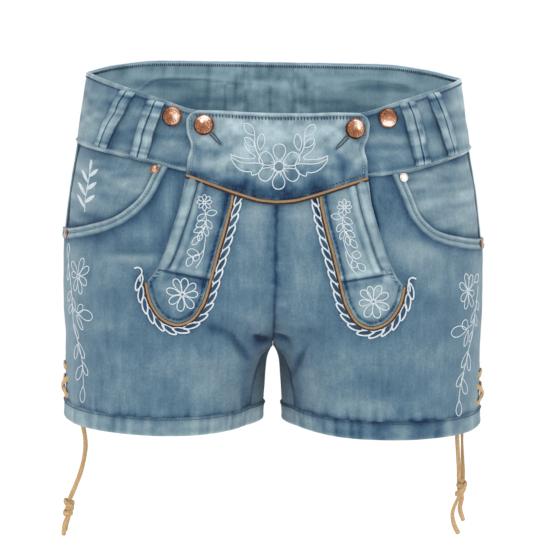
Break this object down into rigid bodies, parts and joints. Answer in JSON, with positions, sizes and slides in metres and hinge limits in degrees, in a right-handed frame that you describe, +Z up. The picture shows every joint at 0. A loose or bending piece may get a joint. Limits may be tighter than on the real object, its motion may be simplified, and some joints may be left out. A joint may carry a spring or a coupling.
{
  "type": "denim shorts",
  "caption": "Short denim trousers cut like lederhosen: buttoned front flap, tongue tabs, scooped hip pockets, white embroidery and laced side vents, hanging filled out.",
  "frame": {"origin": "centre of the waist opening, 2 mm above the waistband's top edge at the side seams", "axes": "+Z up, +X towards the wearer's left, the front faces -Y"},
  "size_m": [0.3714, 0.2386, 0.4048],
  "materials": {
    "denim": "washed stretch denim, soft, matte",
    "light_denim": "the same denim, more faded",
    "pocket_denim": "the same denim, matte",
    "piping": "tan cord piping, matte",
    "copper": "antiqued copper, satin",
    "suede": "tan suede lace, matte"
  },
  "bodies": {
    "root": {"waistband": "denim", "front_panel_right": "denim", "back_panel_right": "denim", "hem_right": "denim", "front_panel_left": "denim", "back_panel_left": "denim", "hem_left": "denim", "flap": "light_denim", "tab_right": "light_denim", "tab_pleat_right": "light_denim", "pocket_binding_right": "light_denim", "tab_left": "light_denim", "tab_pleat_left": "light_denim", "pocket_binding_left": "light_denim", "belt_loop_right_inner": "light_denim", "belt_loop_right_outer": "light_denim", "belt_loop_left_inner": "light_denim", "belt_loop_left_outer": "light_denim", "belt_loop_back": "light_denim", "pocket_facing_right": "pocket_denim", "pocket_facing_left": "pocket_denim", "flap_piping": "piping", "tab_piping_right": "piping", "tab_piping_left": "piping", "button_waist_right": "copper", "button_flap_right": "copper", "button_flap_left": "copper", "button_waist_left": "copper", "rivet_right": "copper", "rivet_left": "copper", "rivet_side_right": "copper", "rivet_side_left": "copper", "lace_bar_right": "suede", "lace_cross_under_right": "suede", "lace_cross_over_right": "suede", "lace_bar_left": "suede", "lace_cross_under_left": "suede", "lace_cross_over_left": "suede", "lace_front_right": "suede", "lace_back_right": "suede", "lace_knot_right": "suede", "lace_tail_right_1": "suede", "lace_tail_right_2": "suede", "lace_front_left": "suede", "lace_back_left": "suede", "lace_knot_left": "suede", "lace_tail_left_1": "suede", "lace_tail_left_2": "suede"}
  },
  "joints": []
}
